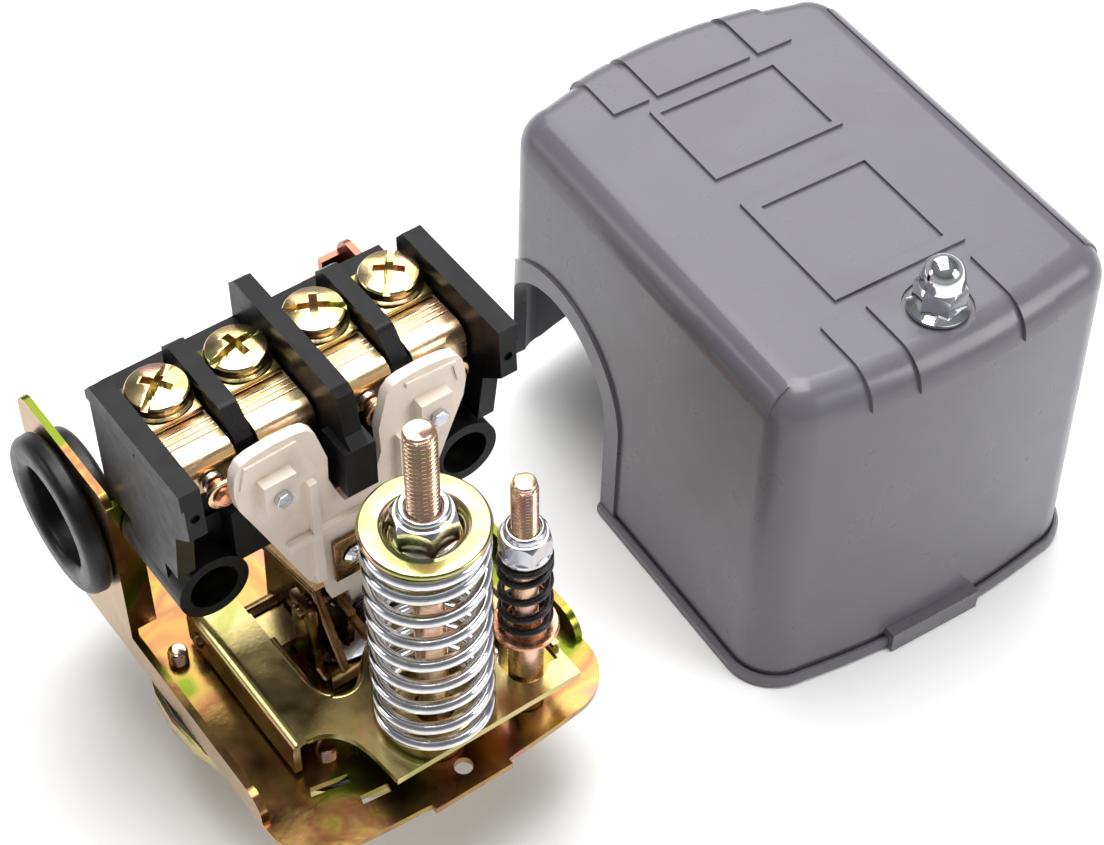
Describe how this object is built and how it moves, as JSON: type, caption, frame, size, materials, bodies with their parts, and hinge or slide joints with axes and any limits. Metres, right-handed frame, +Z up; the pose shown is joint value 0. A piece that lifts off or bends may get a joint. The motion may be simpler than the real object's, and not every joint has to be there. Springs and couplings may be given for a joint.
{
  "type": "pressure switch",
  "caption": "Water-pump pressure switch with its cover off: flat sprung lever, adjusting springs on studs, rocking contact carrier, screw terminals, and a moulded cover beside it.",
  "frame": {"origin": "on the resting face of the port boss, at its front edge midway between the two end plates, in the plane that the boss and the cover stand on", "axes": "X along the terminal row from the left grommet to the right one, +Y from the springs to the terminals, +Z up along the studs"},
  "size_m": [0.1952, 0.1107, 0.116],
  "materials": {
    "yellow_zinc": "yellow chromated zinc plate, satin with iridescent tints",
    "dark_yellow_zinc": "dark bronze chromated zinc plate",
    "blue_zinc": "bright clear zinc plate",
    "spring_steel": "bright plated spring steel",
    "black_steel": "black oxide",
    "copper": "coppery plate",
    "brass": "satin",
    "silver": "bright silver face",
    "chrome": "polished",
    "black_moulding": "satin thermoset moulding",
    "beige_moulding": "satin moulding",
    "grey_moulding": "semi-gloss textured moulding",
    "rubber": "smooth rubber"
  },
  "bodies": {
    "mechanism": {"base_frame": "yellow_zinc", "pivot_bracket": "yellow_zinc", "carrier_pivot_pin": "blue_zinc", "lever_pivot_pin": "blue_zinc", "diaphragm": "rubber", "diaphragm_flange": "yellow_zinc", "flange_screw_1": "yellow_zinc", "flange_screw_2": "yellow_zinc", "flange_screw_3": "yellow_zinc", "flange_screw_4": "yellow_zinc", "flange_screw_5": "yellow_zinc", "pipe_connector": "blue_zinc", "range_stud": "yellow_zinc", "range_spring": "spring_steel", "differential_stud": "yellow_zinc", "differential_spring": "black_steel", "differential_spring_seat": "copper", "terminal_block": "black_moulding", "block_screw_left": "yellow_zinc", "block_screw_right": "yellow_zinc", "terminal_strap_1": "brass", "terminal_strap_2": "brass", "terminal_strap_3": "brass", "terminal_strap_4": "brass", "fixed_contact_1": "silver", "fixed_contact_2": "silver", "fixed_contact_3": "silver", "fixed_contact_4": "silver", "grommet_left": "rubber", "grommet_right": "rubber"},
    "lever": {"main_lever": "yellow_zinc", "toggle_lever": "dark_yellow_zinc", "toggle_spring_left": "black_steel", "toggle_spring_right": "black_steel"},
    "plunger": {"diaphragm_plunger": "blue_zinc"},
    "carrier": {"contact_carrier": "beige_moulding", "carrier_pivot_plate": "dark_yellow_zinc", "bracket_rivet": "spring_steel", "moving_bridge_left": "brass", "moving_bridge_right": "brass", "moving_contact_1": "silver", "moving_contact_2": "silver", "moving_contact_3": "silver", "moving_contact_4": "silver", "contact_pin_left": "blue_zinc", "contact_pin_right": "blue_zinc"},
    "spring_cup": {"range_spring_cup": "yellow_zinc"},
    "range_locknut": {"range_nut": "blue_zinc"},
    "differential_locknut": {"differential_nut": "blue_zinc"},
    "cover_shell": {"cover": "grey_moulding", "cap_nut_retainer": "blue_zinc"},
    "domed_nut": {"cap_nut": "chrome"},
    "clamp_1": {"clamp_plate_1": "yellow_zinc"},
    "screw_1": {"terminal_screw_1": "yellow_zinc"},
    "clamp_2": {"clamp_plate_2": "yellow_zinc"},
    "screw_2": {"terminal_screw_2": "yellow_zinc"},
    "clamp_3": {"clamp_plate_3": "yellow_zinc"},
    "screw_3": {"terminal_screw_3": "yellow_zinc"},
    "clamp_4": {"clamp_plate_4": "yellow_zinc"},
    "screw_4": {"terminal_screw_4": "yellow_zinc"}
  },
  "joints": [
    {"name": "lever_hinge", "type": "hinge", "parent": "mechanism", "child": "lever", "pos_m": [0, 0.019, 0.0336], "axis": [-1, 0, 0], "range_deg": [0, 1.2], "deforming": ["toggle_spring_left", "toggle_spring_right"]},
    {"name": "plunger_travel", "type": "slide", "parent": "mechanism", "child": "plunger", "axis": [0, 0, 1], "range_m": [0, 0.0002]},
    {"name": "carrier_hinge", "type": "hinge", "parent": "mechanism", "child": "carrier", "pos_m": [0, 0.004, 0.048], "axis": [1, 0, 0], "range_deg": [0, 6]},
    {"name": "spring_cup_travel", "type": "slide", "parent": "mechanism", "child": "spring_cup", "axis": [0, 0, 1], "range_m": [-0.006, 0.006], "deforming": ["range_spring"]},
    {"name": "range_nut_turn", "type": "hinge", "parent": "spring_cup", "child": "range_locknut", "pos_m": [0, -0.023, 0.088], "axis": [0, 0, 1], "range_deg": [-2165, 2165]},
    {"name": "differential_nut_travel", "type": "slide", "parent": "mechanism", "child": "differential_locknut", "axis": [0, 0, 1], "range_m": [-0.004, 0.006], "deforming": ["differential_spring"]},
    {"name": "clamp_1_lift", "type": "slide", "parent": "mechanism", "child": "clamp_1", "axis": [0, 0, 1], "range_m": [0, 0.003]},
    {"name": "screw_1_turn", "type": "hinge", "parent": "clamp_1", "child": "screw_1", "pos_m": [-0.0236, 0.0229, 0.0975], "axis": [0, 0, 1], "range_deg": [0, 1545]},
    {"name": "clamp_2_lift", "type": "slide", "parent": "mechanism", "child": "clamp_2", "axis": [0, 0, 1], "range_m": [0, 0.003]},
    {"name": "screw_2_turn", "type": "hinge", "parent": "clamp_2", "child": "screw_2", "pos_m": [-0.0079, 0.0229, 0.0975], "axis": [0, 0, 1], "range_deg": [0, 1545]},
    {"name": "clamp_3_lift", "type": "slide", "parent": "mechanism", "child": "clamp_3", "axis": [0, 0, 1], "range_m": [0, 0.003]},
    {"name": "screw_3_turn", "type": "hinge", "parent": "clamp_3", "child": "screw_3", "pos_m": [0.0079, 0.0229, 0.0975], "axis": [0, 0, 1], "range_deg": [0, 1545]},
    {"name": "clamp_4_lift", "type": "slide", "parent": "mechanism", "child": "clamp_4", "axis": [0, 0, 1], "range_m": [0, 0.003]},
    {"name": "screw_4_turn", "type": "hinge", "parent": "clamp_4", "child": "screw_4", "pos_m": [0.0236, 0.0229, 0.0975], "axis": [0, 0, 1], "range_deg": [0, 1545]},
    {"name": "cover_lift", "type": "slide", "parent": "mechanism", "child": "cover_shell", "axis": [0, 0, 1], "range_m": [0, 0.12]},
    {"name": "cap_nut_turn", "type": "hinge", "parent": "cover_shell", "child": "domed_nut", "pos_m": [0.1099, -0.02893, 0.088], "axis": [0, 0, 1], "continuous": true}
  ],
  "couplings": [
    {"joint": "plunger_travel", "follows": "lever_hinge", "m_per_rad": 0.008},
    {"joint": "carrier_hinge", "follows": "lever_hinge", "ratio": 5},
    {"joint": "range_nut_turn", "follows": "spring_cup_travel", "rad_per_m": 6283.2},
    {"joint": "screw_1_turn", "follows": "clamp_1_lift", "rad_per_m": 8976},
    {"joint": "screw_2_turn", "follows": "clamp_2_lift", "rad_per_m": 8976},
    {"joint": "screw_3_turn", "follows": "clamp_3_lift", "rad_per_m": 8976},
    {"joint": "screw_4_turn", "follows": "clamp_4_lift", "rad_per_m": 8976}
  ]
}
